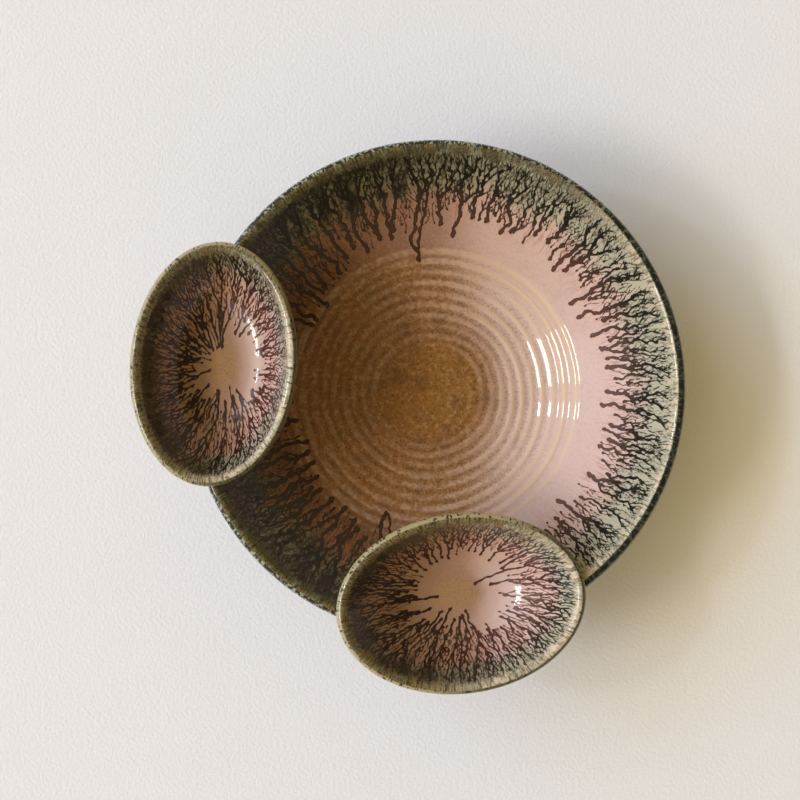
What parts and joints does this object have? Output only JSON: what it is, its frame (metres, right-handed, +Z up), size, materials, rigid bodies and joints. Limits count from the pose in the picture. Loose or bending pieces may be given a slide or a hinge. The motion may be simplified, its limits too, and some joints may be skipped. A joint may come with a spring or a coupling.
{
  "type": "chip and dip server",
  "caption": "Round glazed stoneware serving bowl on a foot ring, with oval dip bowls let into its rim and luted there, in a mauve and celadon flowing glaze.",
  "frame": {"origin": "on the table, below the middle of the outline's box", "axes": "+Z up out of the open bowls; +X to the right and -Y to the front, where the front dip bowl is; the other dip bowl is at -X"},
  "size_m": [0.3112, 0.3102, 0.084],
  "materials": {
    "bowl_glaze": "glossy flowing glaze: mauve and tan middle, dark green-black runs and pale celadon under the rim, golden rim",
    "dip_glaze": "the same glossy flowing glaze",
    "seam_glaze": "glossy dark glaze pooled in the seams",
    "bare_stoneware": "unglazed fired stoneware, matte"
  },
  "bodies": {
    "root": {"main_bowl": "bowl_glaze", "foot_ring": "bare_stoneware", "left_dip_bowl": "dip_glaze", "left_inner_luting_coil": "seam_glaze", "left_outer_luting_coil": "seam_glaze", "front_dip_bowl": "dip_glaze", "front_inner_luting_coil": "seam_glaze", "front_outer_luting_coil": "seam_glaze"}
  },
  "joints": []
}
